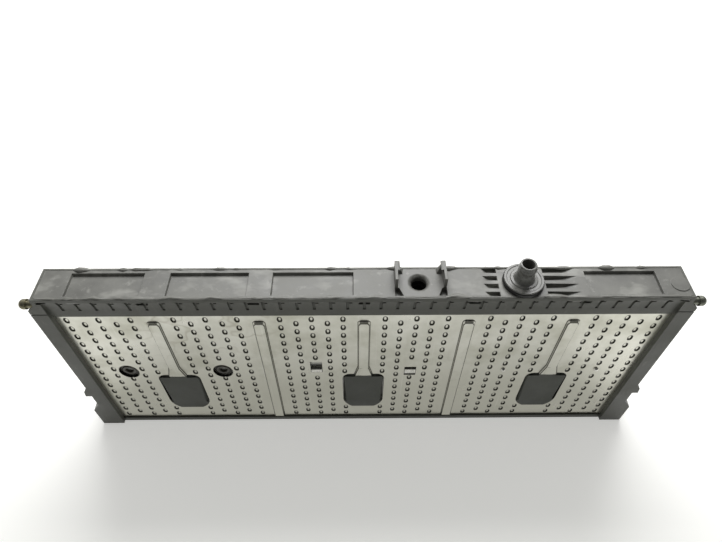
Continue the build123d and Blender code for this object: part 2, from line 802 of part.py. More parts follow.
# coolant manifolds between the rail and the cold plate
for name, place in (("inlet", nipple_x), ("outlet", port_x)):
    with BuildPart() as manifold:
        with BuildSketch(Plane.XY.offset(manifold_foot)):
            with Locations((place, -cell_front_y)):
                Rectangle(manifold_width, manifold_depth, align=(Align.CENTER, Align.MIN))
        extrude(amount=rail_seat - manifold_foot)
        fillet(manifold.edges().filter_by(Axis.Z).sort_by(Axis.Y)[-2:], radius=manifold_corner)
        with Locations((place, 0, rail_seat)):
            Hole(nipple_bore, depth=manifold_drop)
            Hole(spigot_radius + fit_clearance, depth=spigot_length - 2 * ring_section - rail_thickness)
        with BuildSketch(Plane.XZ.offset(cell_front_y)):
            with Locations((place, inlet_height)):
                Circle(inlet_radius)
        extrude(amount=-cell_front_y, mode=Mode.SUBTRACT)
    manifold.part.label = f"{name}_manifold"
    export_step(manifold.part, f"parts/{name}_manifold.step")

# flanged coolant nipple, turned about its axis
flange_bottom = frame_height + 2 * ring_section
flange_top = flange_bottom + flange_plate
collar_foot = flange_top + flange_step
collar_top = flange_top + collar_step
collar_radius = flange_radius - collar_inset
bead_middle = frame_height + bead_height
mouth = frame_height + nipple_height
with BuildPart() as coolant_nipple:
    with BuildSketch(Plane(origin=(nipple_x, 0, 0), x_dir=(1, 0, 0), z_dir=(0, -1, 0))):
        with BuildLine():
            Polyline(
                (nipple_bore, flange_bottom - spigot_length), (spigot_radius, flange_bottom - spigot_length),
                (spigot_radius, flange_bottom), (flange_radius, flange_bottom), (flange_radius, flange_top),
                (flange_radius - flange_rim, flange_top),
                (flange_radius - flange_rim - flange_bevel, collar_foot), (collar_radius, collar_foot),
                (collar_radius - collar_bevel, collar_top), (nipple_outer + root_bevel, collar_top),
                (nipple_outer, collar_top + root_bevel), (nipple_outer, bead_middle - bead_half),
            )
            ThreePointArc(
                (nipple_outer, bead_middle - bead_half), (bead_radius, bead_middle),
                (nipple_outer, bead_middle + bead_half),
            )
            Polyline(
                (nipple_outer, bead_middle + bead_half), (nipple_outer, mouth - mouth_bevel),
                (nipple_outer - mouth_bevel, mouth), (nipple_bore, mouth),
                (nipple_bore, flange_bottom - spigot_length),
            )
        make_face()
    revolve(axis=Axis((nipple_x, 0, 0), (0, 0, 1)))
coolant_nipple.part.label = "coolant_nipple"
export_step(coolant_nipple.part, "parts/coolant_nipple.step")

# sealing ring under the flange
with BuildPart() as nipple_ring:
    with Locations((nipple_x, 0, frame_height + ring_section)):
        Torus(ring_radius, ring_section)
nipple_ring.part.label = "nipple_seal_ring"
export_step(nipple_ring.part, "parts/nipple_seal_ring.step")

# sleeve that lines the coolant port
with BuildPart() as port_sleeve:
    with BuildSketch(Plane.XY.offset(rail_seat)):
        with Locations((port_x, 0)):
            Circle(spigot_radius)
            Circle(port_radius, mode=Mode.SUBTRACT)
    extrude(amount=-(spigot_length - 2 * ring_section - rail_thickness))
port_sleeve.part.label = "port_sleeve"
export_step(port_sleeve.part, "parts/port_sleeve.step")

# corner pins with domed heads
for name, side in (("left", -1), ("right", 1)):
    pin_plane = Plane(origin=(side * pin_inner, pin_y, pin_z), x_dir=(0, 1, 0), z_dir=(side, 0, 0))
    with BuildPart() as corner_pin:
        with BuildSketch(pin_plane):
            Circle(pin_radius)
        extrude(amount=pin_shoulder - pin_inner)
        with BuildSketch(pin_plane.offset(pin_shoulder - pin_inner)):
            Circle(pin_head)
        extrude(amount=pin_dome)
        fillet(corner_pin.faces().sort_by(Axis.X)[-(side + 1) // 2].edges(), radius=pin_head * dome_share)
    corner_pin.part.label = f"{name}_corner_pin"
    export_step(corner_pin.part, f"parts/{name}_corner_pin.step")

# sensor bosses in the round holes
for number, place in enumerate(hole_places):
    with BuildPart() as sensor_boss:
        with BuildSketch(Plane.XZ.offset(cell_front_y)):
            with Locations((place, feature_height)):
                Circle(hole_radius - block_clearance / 4)
                Circle(boss_bore, mode=Mode.SUBTRACT)
        extrude(amount=sheet_thickness)
        with BuildSketch(Plane.XZ.offset(inner_sheet_y)):
            with Locations((place, feature_height)):
                Circle(boss_rim)
                Circle(boss_bore, mode=Mode.SUBTRACT)
        extrude(amount=sheet_thickness)
        chamfer(sensor_boss.faces().sort_by(Axis.Y)[0].edges(), length=boss_bevel)
    sensor_boss.part.label = f"sensor_boss_{number + 1}"
    export_step(sensor_boss.part, f"parts/sensor_boss_{number + 1}.step")

# spring tabs in the slots
for number, place in enumerate(slot_places):
    with BuildPart() as spring_tab:
        with BuildSketch(Plane.YZ.offset(place - slot_width / 2 + block_clearance / 4)):
            with BuildLine():
                Polyline(
                    (-cell_front_y, feature_height + slot_height / 2 - tab_bend),
                    (-face_y, feature_height - tab_bend),
                    (-face_y, feature_height - slot_height / 2 + tab_gap),
                    (-face_y + tab_gauge, feature_height - slot_height / 2 + tab_gap),
                    (-face_y + tab_gauge, feature_height - tab_bend_inner),
                    (-cell_front_y, feature_height + slot_height / 2 - tab_bend_back), close=True,
                )
            make_face()
        extrude(amount=slot_width - block_clearance / 2)
    spring_tab.part.label = f"spring_tab_{number + 1}"
    export_step(spring_tab.part, f"parts/spring_tab_{number + 1}.step")

# domed rivets in the face of the cold plate
for number, place in enumerate(rivet_places):
    with BuildPart() as rivet:
        with Locations((place, -face_y, feature_height)):
            Sphere(rivet_radius)
        split(bisect_by=Plane.XZ.offset(face_y), keep=Keep.TOP)
    rivet.part.label = f"dome_rivet_{number + 1}"
    export_step(rivet.part, f"parts/dome_rivet_{number + 1}.step")
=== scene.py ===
import math

import bmesh
import bpy
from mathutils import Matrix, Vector, noise


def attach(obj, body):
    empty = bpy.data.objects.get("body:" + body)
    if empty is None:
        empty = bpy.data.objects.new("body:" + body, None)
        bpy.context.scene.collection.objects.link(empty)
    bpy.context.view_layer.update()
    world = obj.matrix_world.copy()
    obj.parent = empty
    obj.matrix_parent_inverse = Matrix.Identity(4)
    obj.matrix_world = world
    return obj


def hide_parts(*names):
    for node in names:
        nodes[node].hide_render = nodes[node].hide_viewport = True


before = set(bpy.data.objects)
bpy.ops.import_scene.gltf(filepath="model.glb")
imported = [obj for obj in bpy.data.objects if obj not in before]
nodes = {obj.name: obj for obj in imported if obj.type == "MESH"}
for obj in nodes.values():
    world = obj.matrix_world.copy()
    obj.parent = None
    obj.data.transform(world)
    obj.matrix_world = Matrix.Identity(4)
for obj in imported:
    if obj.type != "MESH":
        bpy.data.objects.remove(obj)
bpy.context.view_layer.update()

mm = 0.001


# small helpers for selecting, modifiers and materials

def clearSelection():
    if bpy.context.mode != "OBJECT":
        bpy.ops.object.mode_set(mode="OBJECT")
    bpy.ops.object.select_all(action="DESELECT")


def activate(piece):
    clearSelection()
    piece.select_set(True)
    bpy.context.view_layer.objects.active = piece


def applyPlace(piece):
    activate(piece)
    bpy.ops.object.transform_apply(location=True, rotation=True, scale=True)


def addModifier(piece, kind, **settings):
    activate(piece)
    modifier = piece.modifiers.new(kind.title(), kind)
    for name, value in settings.items():
        setattr(modifier, name, value)
    bpy.ops.object.modifier_apply(modifier=modifier.name)


def selectFaces(piece, test):
    # edit mode with only the faces that pass the test selected
    activate(piece)
    bpy.ops.object.mode_set(mode="EDIT")
    bpy.ops.mesh.select_mode(type="FACE")
    bpy.ops.mesh.select_all(action="DESELECT")
    mesh = bmesh.from_edit_mesh(piece.data)
    for face in mesh.faces:
        face.select_set(bool(test(face)))
    bmesh.update_edit_mesh(piece.data)


def selectEdges(piece, test):
    activate(piece)
    bpy.ops.object.mode_set(mode="EDIT")
    bpy.ops.mesh.select_mode(type="EDGE")
    bpy.ops.mesh.select_all(action="DESELECT")
    mesh = bmesh.from_edit_mesh(piece.data)
    for edge in mesh.edges:
        edge.select_set(bool(test(edge)))
    bmesh.update_edit_mesh(piece.data)


def alongY(edge):
    a, b = edge.verts[0].co, edge.verts[1].co
    return abs((a - b).y) > 0.9 * (a - b).length


def block(name, low, high):
    # a box between two corners in mm
    low, high = Vector(low) * mm, Vector(high) * mm
    clearSelection()
    bpy.ops.mesh.primitive_cube_add(size=1, location=(low + high) / 2)
    piece = bpy.context.object
    piece.name = piece.data.name = name
    piece.scale = high - low
    applyPlace(piece)
    return piece


def joined(name, pieces):
    clearSelection()
    for piece in pieces:
        piece.select_set(True)
    bpy.context.view_layer.objects.active = pieces[0]
    if len(pieces) > 1:
        bpy.ops.object.join()
    piece = bpy.context.object
    piece.name = piece.data.name = name
    applyPlace(piece)
    return piece


def duplicate(piece, shift):
    twin = piece.copy()
    twin.data = piece.data.copy()
    bpy.context.scene.collection.objects.link(twin)
    twin.location = piece.location + Vector(shift) * mm
    return twin


def boolean(piece, tool, operation):
    addModifier(piece, "BOOLEAN", operation=operation, object=tool, solver="EXACT", use_self=True)
    bpy.data.objects.remove(tool)


def softenEdges(piece, width, segments, angle=30):
    addModifier(piece, "BEVEL", width=width * mm, segments=segments, limit_method="ANGLE",
                angle_limit=math.radians(angle), use_clamp_overlap=False, harden_normals=False)
    activate(piece)
    bpy.ops.object.shade_smooth_by_angle(angle=math.radians(40))
    addModifier(piece, "WEIGHTED_NORMAL", mode="FACE_AREA", weight=60, keep_sharp=True)


def turned(name, place, profile, segments=48, axis="Z"):
    # a lathe piece: profile is (radius, height) in mm, bottom first
    radius, height = profile[0]
    clearSelection()
    bpy.ops.mesh.primitive_circle_add(vertices=segments, radius=radius * mm, location=(0, 0, height * mm))
    piece = bpy.context.object
    piece.name = piece.data.name = name
    bpy.ops.object.mode_set(mode="EDIT")
    bpy.ops.mesh.select_mode(type="VERT")
    bpy.ops.mesh.select_all(action="SELECT")
    for nextRadius, nextHeight in profile[1:]:
        rise = (nextHeight - height) * mm
        bpy.ops.mesh.extrude_region_move(TRANSFORM_OT_translate={"value": (0, 0, rise)})
        if nextRadius != radius:
            share = nextRadius / radius
            bpy.ops.transform.resize(value=(share, share, 1), center_override=(0, 0, nextHeight * mm))
        radius, height = nextRadius, nextHeight
    bpy.ops.mesh.select_all(action="SELECT")
    bpy.ops.mesh.remove_doubles(threshold=1e-6)
    bpy.ops.mesh.normals_make_consistent(inside=False)
    bpy.ops.object.mode_set(mode="OBJECT")
    applyPlace(piece)
    turns = {"Z": (0, 0, 0), "-Y": (math.radians(90), 0, 0), "X": (0, math.radians(90), 0),
             "-X": (0, math.radians(-90), 0)}
    piece.rotation_euler = turns[axis]
    piece.location = Vector(place) * mm
    applyPlace(piece)
    return piece


def finishPiece(piece, slotName, *replaced):
    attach(piece, "root")
    if replaced:
        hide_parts(*replaced)


def linearColour(code):
    parts = [int(code[i:i + 2], 16) / 255 for i in (0, 2, 4)]
    return tuple(v / 12.92 if v <= 0.04045 else ((v + 0.055) / 1.055) ** 2.4 for v in parts) + (1,)


def addNode(tree, kind, settings=None, links=None):
    node = tree.nodes.new(kind)
    for name, value in (settings or {}).items():
        setattr(node, name, value)
    for socket, value in (links or {}).items():
        if isinstance(value, bpy.types.NodeSocket):
            tree.links.new(value, node.inputs[socket])
        else:
            node.inputs[socket].default_value = value
    return node


def newMaterial(name):
    material = bpy.data.materials.new(name)
    material.use_nodes = True
    material.node_tree.nodes.clear()
    shader = addNode(material.node_tree, "ShaderNodeBsdfPrincipled")
    addNode(material.node_tree, "ShaderNodeOutputMaterial", {}, {"Surface": shader.outputs["BSDF"]})
    place = addNode(material.node_tree, "ShaderNodeTexCoord").outputs["Object"]
    return material, material.node_tree, shader, place


def noiseAt(tree, place, sizeMm, detail=3.0, rough=0.5, stretch=(1, 1, 1)):
    scaled = addNode(tree, "ShaderNodeMapping", {}, {"Vector": place, "Scale": stretch})
    return addNode(tree, "ShaderNodeTexNoise", {}, {
        "Vector": scaled.outputs["Vector"], "Scale": 1000 / sizeMm, "Detail": detail, "Roughness": rough})


def mapped(tree, value, fromLow, fromHigh, toLow=0.0, toHigh=1.0):
    return addNode(tree, "ShaderNodeMapRange", {}, {
        "Value": value, "From Min": fromLow, "From Max": fromHigh, "To Min": toLow, "To Max": toHigh,
    }).outputs["Result"]


def mixed(tree, factor, first, second, blend="MIX"):
    node = addNode(tree, "ShaderNodeMix", {"data_type": "RGBA", "blend_type": blend},
                   {0: factor, 6: first, 7: second})
    return node.outputs[2]


# moulded plastic of the frame and rail: matt, a little mottled, with scuffs and pale dust
mouldedPlastic = {
    "mottleMm": 28, "smearMm": 36, "grainMm": 0.9, "scuffMm": 9,
    "roughLow": 0.40, "roughHigh": 0.58, "grainDepth": 0.00004, "waveDepth": 0.0012,
}


def mouldedMaterial(name, bodyHex, scuffHex, roughShift=0.0, dust=0.0):
    material, tree, shader, place = newMaterial(name)
    mottle = noiseAt(tree, place, mouldedPlastic["mottleMm"], 4, 0.6)
    smear = noiseAt(tree, place, mouldedPlastic["smearMm"], 3, 0.55, (1, 1.6, 1))
    scuff = noiseAt(tree, place, mouldedPlastic["scuffMm"], 6, 0.65, (1, 1, 0.35))
    # drawn coarser than real grain, to show
    grain = noiseAt(tree, place, mouldedPlastic["grainMm"], 2, 0.5)
    amount = mapped(tree, mottle.outputs["Fac"], 0.35, 0.7, 0.0, 0.30)
    body = mixed(tree, amount, linearColour(bodyHex), linearColour(scuffHex))
    smears = mapped(tree, smear.outputs["Fac"], 0.54, 0.68, 0.0, dust)  # pale dust wiped about
    body = mixed(tree, smears, body, linearColour(scuffHex))
    marks = mapped(tree, scuff.outputs["Fac"], 0.58, 0.72, 0.0, 0.5)
    tree.links.new(mixed(tree, marks, body, linearColour(scuffHex)), shader.inputs["Base Color"])
    rough = mapped(tree, mottle.outputs["Fac"], 0.3, 0.7, mouldedPlastic["roughLow"] + roughShift,
                   mouldedPlastic["roughHigh"] + roughShift)
    tree.links.new(rough, shader.inputs["Roughness"])
    bump = addNode(tree, "ShaderNodeBump", {}, {
        "Height": grain.outputs["Fac"], "Strength": 0.35, "Distance": mouldedPlastic["grainDepth"]})
    wave = addNode(tree, "ShaderNodeBump", {}, {
        "Height": mottle.outputs["Fac"], "Strength": 0.25, "Distance": mouldedPlastic["waveDepth"],
        "Normal": bump.outputs["Normal"]})
    tree.links.new(wave.outputs["Normal"], shader.inputs["Normal"])
    shader.inputs["IOR"].default_value = 1.52
    return material


# stamped aluminium: bright rolled sheet, dulled in clouds by handling and darker towards the foot, with
# drips, fine scratches, brown residue and painted shade on its steep walls
stampedSheet = {
    "sheetHex": "e4e3da", "dullHex": "bfbeb0", "residueHex": "9c9480", "scratchHex": "e6e5de",
    # the darkest colour below is a painted shade for steep walls
    "grimeHex": "2c2b26", "roughLow": 0.24, "roughHigh": 0.42, "rollGrainMm": 0.8,
    "rollDepth": 0.00003, "waveDepth": 0.002,
    # dried residue gathers round one panel, high up: its middle, reach in x, and reach in z, in metres
    "residueX": -0.165, "residueReach": (0.045, 0.095), "residueHeight": (0.13, 0.19),
}


def stampedMaterial(name):
    material, tree, shader, place = newMaterial(name)
    cloud = noiseAt(tree, place, 55, 4, 0.6)
    drip = noiseAt(tree, place, 14, 5, 0.6, (1, 1, 0.3))
    residue = noiseAt(tree, place, 34, 2, 0.5)
    roll = noiseAt(tree, place, stampedSheet["rollGrainMm"], 2, 0.5, (1, 1, 0.06))
    scratch = noiseAt(tree, place, 1.6, 1, 0.5, (1, 1, 0.02))
    parts = addNode(tree, "ShaderNodeSeparateXYZ", {}, {"Vector": place})
    # duller and darker towards the foot
    lower = mapped(tree, parts.outputs["Z"], 0.08, 0.20, 0.75, 0.0)
    cloudy = mapped(tree, cloud.outputs["Fac"], 0.38, 0.66, 0.0, 0.8)
    dull = addNode(tree, "ShaderNodeMath", {"operation": "MAXIMUM"}, {0: lower, 1: cloudy}).outputs[0]
    dullColour = linearColour(stampedSheet["dullHex"])
    colour = mixed(tree, dull, linearColour(stampedSheet["sheetHex"]), dullColour)
    drips = mapped(tree, drip.outputs["Fac"], 0.56, 0.72, 0.0, 0.35)
    colour = mixed(tree, drips, colour, dullColour)
    nearX = addNode(tree, "ShaderNodeMath", {"operation": "SUBTRACT"},
                    {0: parts.outputs["X"], 1: stampedSheet["residueX"]})
    nearX = addNode(tree, "ShaderNodeMath", {"operation": "ABSOLUTE"}, {0: nearX.outputs[0]})
    nearX = mapped(tree, nearX.outputs[0], *stampedSheet["residueReach"], 1.0, 0.0)
    highZ = mapped(tree, parts.outputs["Z"], *stampedSheet["residueHeight"], 0.0, 1.0)
    region = addNode(tree, "ShaderNodeMath", {"operation": "MULTIPLY"}, {0: nearX, 1: highZ})
    edge = addNode(tree, "ShaderNodeMath", {"operation": "SUBTRACT"}, {0: residue.outputs["Fac"], 1: 0.5})
    edge = addNode(tree, "ShaderNodeMath", {"operation": "ABSOLUTE"}, {0: edge.outputs[0]})
    # dried rings: only the rims of each patch
    patch = mapped(tree, edge.outputs[0], 0.0, 0.035, 0.32, 0.0)
    patch = addNode(tree, "ShaderNodeMath", {"operation": "MULTIPLY"}, {0: patch, 1: region.outputs[0]})
    colour = mixed(tree, patch.outputs[0], colour, linearColour(stampedSheet["residueHex"]))
    thin = mapped(tree, scratch.outputs["Fac"], 0.70, 0.76, 0.0, 0.3)
    colour = mixed(tree, thin, colour, linearColour(stampedSheet["scratchHex"]))
    # painted shade and dark reflection on the steep walls, read from the mesh attribute
    grime = addNode(tree, "ShaderNodeAttribute", {"attribute_name": "grime"}).outputs["Fac"]
    colour = mixed(tree, grime, colour, linearColour(stampedSheet["grimeHex"]))
    tree.links.new(colour, shader.inputs["Base Color"])
    shader.inputs["Metallic"].default_value = 1.0
    rough = mapped(tree, cloud.outputs["Fac"], 0.3, 0.7,
                   stampedSheet["roughLow"], stampedSheet["roughHigh"])
    dried = mapped(tree, patch.outputs[0], 0.0, 1.0, 0.0, 0.4)
    rough = addNode(tree, "ShaderNodeMath", {"operation": "ADD"}, {0: rough, 1: dried})
    tree.links.new(rough.outputs[0], shader.inputs["Roughness"])
    bump = addNode(tree, "ShaderNodeBump", {}, {
        "Height": roll.outputs["Fac"], "Strength": 0.2, "Distance": stampedSheet["rollDepth"]})
    wave = addNode(tree, "ShaderNodeBump", {}, {
        "Height": cloud.outputs["Fac"], "Strength": 0.3, "Distance": stampedSheet["waveDepth"],
        "Normal": bump.outputs["Normal"]})
    tree.links.new(wave.outputs["Normal"], shader.inputs["Normal"])
    return material


def metalMaterial(name, bodyHex, wornHex, rough, patternMm=6):
    material, tree, shader, place = newMaterial(name)
    patch = noiseAt(tree, place, patternMm, 4, 0.6)
    amount = mapped(tree, patch.outputs["Fac"], 0.4, 0.65)
    colour = mixed(tree, amount, linearColour(bodyHex), linearColour(wornHex))
    tree.links.new(colour, shader.inputs["Base Color"])
    unevenRough = mapped(tree, patch.outputs["Fac"], 0.3, 0.7, rough, rough + 0.18)
    tree.links.new(unevenRough, shader.inputs["Roughness"])
    shader.inputs["Metallic"].default_value = 1.0
    return material


def plainMaterial(name, bodyHex, secondHex, rough, patternMm=10):
    # smooth plastics, rubber, foam and film: two close tones and a light grain
    material, tree, shader, place = newMaterial(name)
    patch = noiseAt(tree, place, patternMm, 4, 0.6)
    amount = mapped(tree, patch.outputs["Fac"], 0.35, 0.7)
    colour = mixed(tree, amount, linearColour(bodyHex), linearColour(secondHex))
    tree.links.new(colour, shader.inputs["Base Color"])
    unevenRough = mapped(tree, patch.outputs["Fac"], 0.3, 0.7, rough, rough + 0.12)
    tree.links.new(unevenRough, shader.inputs["Roughness"])
    bump = addNode(tree, "ShaderNodeBump", {}, {
        "Height": patch.outputs["Fac"], "Strength": 0.2, "Distance": 0.0002})
    tree.links.new(bump.outputs["Normal"], shader.inputs["Normal"])
    return material


framePlastic = mouldedMaterial("glass filled polyamide", "5c5d56", "7d7d75")
railPlastic = mouldedMaterial("moulded rail polyamide", "686863", "a8a8a1", -0.04, 0.55)
# weld flash a little paler than the rail: a painted highlight along the wavy edges
highlitFlashPlastic = mouldedMaterial("weld flash polyamide", "72726c", "b0b0a9", -0.08, 0.5)
blockPlastic = mouldedMaterial("moulded carrier polyamide", "4c4f47", "5b5e55", 0.02)
sheetAluminium = stampedMaterial("stamped aluminium sheet")
millAluminium = metalMaterial("mill finish aluminium", "c6c6c0", "b9b8b1", 0.3, 45)
nipplePlastic = plainMaterial("smooth polyphthalamide", "6a6a66", "7c7c77", 0.22, 5)
bossPlastic = plainMaterial("brown grey acetal", "3d3b34", "575347", 0.3, 4)
blackRubber = plainMaterial("black epdm rubber", "1a1a19", "262625", 0.5, 4)
springSteel = metalMaterial("bright spring steel", "e8e7e0", "cfcec6", 0.2, 4)
pinBrass = metalMaterial("dull turned brass", "94907a", "777362", 0.4, 3)
pinSteel = metalMaterial("weathered plated steel", "8c8e84", "6a6c62", 0.4, 3)
copperBar = metalMaterial("bare copper bar", "c47a52", "9c5f40", 0.3, 12)
terminalBrass = metalMaterial("turned brass insert", "c2ad6b", "a3915c", 0.25, 4)
pouchFilm = metalMaterial("satin pouch laminate", "c9c9c6", "b5b5b1", 0.34, 18)
softFoam = plainMaterial("polyurethane foam", "4a4a48", "5c5c59", 0.85, 2)
boardGreen = plainMaterial("green solder mask", "1e4a2c", "265a36", 0.35, 6)
amberFilm = plainMaterial("amber polyimide film", "8a5a1c", "a06c28", 0.3, 8)
socketPlastic = plainMaterial("black moulded socket", "1d1d1c", "2b2b29", 0.4, 5)
print("materials made")

# finish of each CAD piece, also of those that a softened copy replaces
keptFinish = {
    "cell_carrier": blockPlastic, "cold_plate_inner": millAluminium, "rear_plate": millAluminium,
    "sense_board": boardGreen, "sense_ribbon": amberFilm, "sense_header": socketPlastic,
    "header_contacts": terminalBrass, "inlet_manifold": socketPlastic, "outlet_manifold": socketPlastic,
    "nipple_seal_ring": blackRubber, "port_sleeve": socketPlastic, "left_terminal": terminalBrass,
    "right_terminal": terminalBrass, "left_end_busbar": copperBar, "right_end_busbar": copperBar,
    "front_frame": framePlastic, "rear_frame": framePlastic, "top_rail": railPlastic,
    "coolant_nipple": nipplePlastic, "left_corner_pin": pinBrass, "right_corner_pin": pinSteel,
    "sensor_boss_1": bossPlastic, "sensor_boss_2": bossPlastic, "spring_tab_1": springSteel,
    "spring_tab_2": springSteel, "dome_rivet_1": springSteel, "dome_rivet_2": springSteel,
    "cold_plate_outer": sheetAluminium,
}
for nodeName, piece in nodes.items():
    finish = keptFinish.get(nodeName)
    if finish is None:
        finish = {"cell": pouchFilm, "foam": softFoam, "link": copperBar}[nodeName.split("_")[0]]
    piece.data.materials.clear()
    piece.data.materials.append(finish)
print("CAD pieces dressed")


# frame and rail with rounded arrises: copies of the solids, merged and softened
softening = {"front_frame": 0.35, "rear_frame": 0.35, "top_rail": 0.35, "roundPieces": 0.12}
portRim = {"x": 53.0, "radius": 9.9, "rounding": 1.9}


def softenedCopy(nodeName, name, width):
    piece = nodes[nodeName].copy()
    piece.data = nodes[nodeName].data.copy()
    piece.parent = None
    bpy.context.scene.collection.objects.link(piece)
    piece.name = piece.data.name = name
    for key in list(piece.keys()):
        del piece[key]
    activate(piece)
    bpy.ops.object.mode_set(mode="EDIT")
    bpy.ops.mesh.select_all(action="SELECT")
    bpy.ops.mesh.remove_doubles(threshold=2e-6)
    bpy.ops.mesh.dissolve_limited(angle_limit=math.radians(1.5))
    bpy.ops.object.mode_set(mode="OBJECT")
    if nodeName == "top_rail":
        # the mouth of the coolant port runs in softly
        centre = Vector((portRim["x"], 0, 260)) * mm
        selectEdges(piece, lambda e: all((v.co - centre).length < (portRim["radius"] + 1) * mm
                                         and v.co.z > 0.2599 for v in e.verts))
        bpy.ops.mesh.bevel(offset=portRim["rounding"] * mm, segments=5, affect="EDGES")
        bpy.ops.object.mode_set(mode="OBJECT")
    softenEdges(piece, width, 2, 32)
    return piece


def dressCopy(nodeName, suffix, width, finish, slotName):
    dressed = softenedCopy(nodeName, nodeName + suffix, width)
    dressed.data.materials.clear()
    dressed.data.materials.append(finish)
    finishPiece(dressed, slotName, nodeName)


for nodeName, finish, slotName in (
        ("front_frame", framePlastic, "frame_plastic"), ("rear_frame", framePlastic, "frame_plastic"),
        ("top_rail", railPlastic, "rail_plastic")):
    dressCopy(nodeName, "_shell", softening[nodeName], finish, slotName)
print("frame and rail softened")

# small turned pieces: the same solids, merged and shaded round
for nodeName, finish, slotName in (
        ("left_corner_pin", pinBrass, "pin_brass"), ("right_corner_pin", pinSteel, "pin_brass"),
        ("sensor_boss_1", bossPlastic, "boss_plastic"), ("sensor_boss_2", bossPlastic, "boss_plastic"),
        ("dome_rivet_1", springSteel, "rivet_steel"), ("dome_rivet_2", springSteel, "rivet_steel")):
    dressCopy(nodeName, "_round", softening["roundPieces"], finish, slotName)
print("pins, bosses and rivets rounded")


# cold plate: pressed sheet with raised ridges, windows and round dimples, in mm
plate = {
    "faceY": -14.0, "gauge": 1.5, "halfWidth": 310.5, "low": 5.5, "high": 243.5,
    "panelPitch": 106.9, "panels": 6, "columns": 5, "columnPitch": 16.0, "rows": 15, "rowPitch": 14.55,
    "topRow": 219.0,
    # (radius, depth) of a dimple from its floor out to the mouth; it is taller than wide
    "dimpleProfile": [(1.25, -1.0), (1.5, -0.92), (2.5, -0.16), (2.9, 0.0), (2.9, 0.6)],
    "dimpleStretch": 1.8, "dimpleSegments": 14,
    # (width, rise, drop of the upper end) of the foot, slope and crown of a ridge
    "ridgeSteps": [(0.5, 0.7, 0.5), (0.45, 1.0, 2.2), (0.4, 0.7, 0.7)],
    "ridgeWidth": 13.4, "ridgeTop": 217.5, "ridgeFoot": 9.0, "ridgeCorner": 4.2,
    "neckWidth": 22.0, "neckHeight": 17.0,
    "windowWidth": 48.0, "windowTop": 111.0, "windowKnee": 40.5, "windowFoot": 33.0,
    "windowCorner": 9.0, "skirt": 10.5, "tongueWidth": 28.0,
    "featureZ": 119.0, "holeRadius": 11.0, "holeStretch": 1.2,
    "slotWidth": 13.0, "slotReach": [(115.5, 137.6), (108.5, 125.7)],
    # bare ring round a slot and round a rivet, and the clear margin of all features
    "slotRing": 10.5, "rivetRing": 3.0, "margin": 3.4, "softEdge": 0.22,
}
centres = [(i - (plate["panels"] - 1) / 2) * plate["panelPitch"] for i in range(plate["panels"])]
boundaries = [(i - plate["panels"] / 2) * plate["panelPitch"] for i in range(1, plate["panels"])]
windowPlaces = boundaries[::2]


def dimpleFree(x, z):
    # True where a window or a feature takes a dimple's place
    for place in windowPlaces:
        nearWindow = abs(x - place) < plate["windowWidth"] / 2 + plate["margin"]
        inWindow = plate["windowFoot"] < z < plate["windowTop"] + plate["margin"]
        besideTongue = abs(x - place) > plate["tongueWidth"] / 2 + plate["margin"]
        belowCorner = z < plate["windowKnee"] and besideTongue
        if nearWindow and inWindow and not belowCorner:
            return True
    sizes = [plate["holeRadius"]] * 2 + [plate["slotRing"]] * 2 + [plate["rivetRing"]] * 2
    for place, size in zip(centres, sizes):
        if math.hypot(x - place, z - plate["featureZ"]) < size + plate["margin"]:
            return True
    return False


def ridgeBlock(place, foot):
    # slab with a rounded top end, its front face drawn in and forward
    half = plate["ridgeWidth"] / 2
    face = plate["faceY"]
    ridge = block("ridge", (place - half, face, foot), (place + half, face + 1, plate["ridgeTop"]))
    selectEdges(ridge, lambda e: alongY(e) and e.verts[0].co.z > 0.1)
    bpy.ops.mesh.bevel(offset=plate["ridgeCorner"] * mm, segments=5, affect="EDGES")
    bpy.ops.object.mode_set(mode="OBJECT")
    riseInSteps(ridge, plate["ridgeTop"] - 20)
    return ridge


def riseInSteps(piece, endFrom):
    # foot, slope and crown of a raised rib; its upper end falls away more gently than its sides
    for wall, rise, endShift in plate["ridgeSteps"]:
        selectFaces(piece, lambda f: f.normal.y < -0.9)
        bpy.ops.mesh.inset(thickness=wall * mm, depth=rise * mm)
        bpy.ops.object.mode_set(mode="OBJECT")
        front = min(v.co.y for v in piece.data.vertices)
        for vertex in piece.data.vertices:
            if vertex.co.z > endFrom * mm and vertex.co.y < front + 0.05 * mm:
                vertex.co.z -= endShift * mm


def neckBlock(place):
    # flare of a ridge where it meets the top of a window
    half = plate["neckWidth"] / 2
    face = plate["faceY"]
    neck = block("neck", (place - half, face, plate["windowTop"] - 1),
                 (place + half, face + 1, plate["windowTop"] + plate["neckHeight"]))
    selectFaces(neck, lambda f: f.normal.z > 0.9)
    share = plate["ridgeWidth"] / plate["neckWidth"]
    bpy.ops.transform.resize(value=(share, 1, 1), center_override=(place * mm, 0, 0))
    bpy.ops.object.mode_set(mode="OBJECT")
    riseInSteps(neck, plate["ridgeTop"])
    return neck


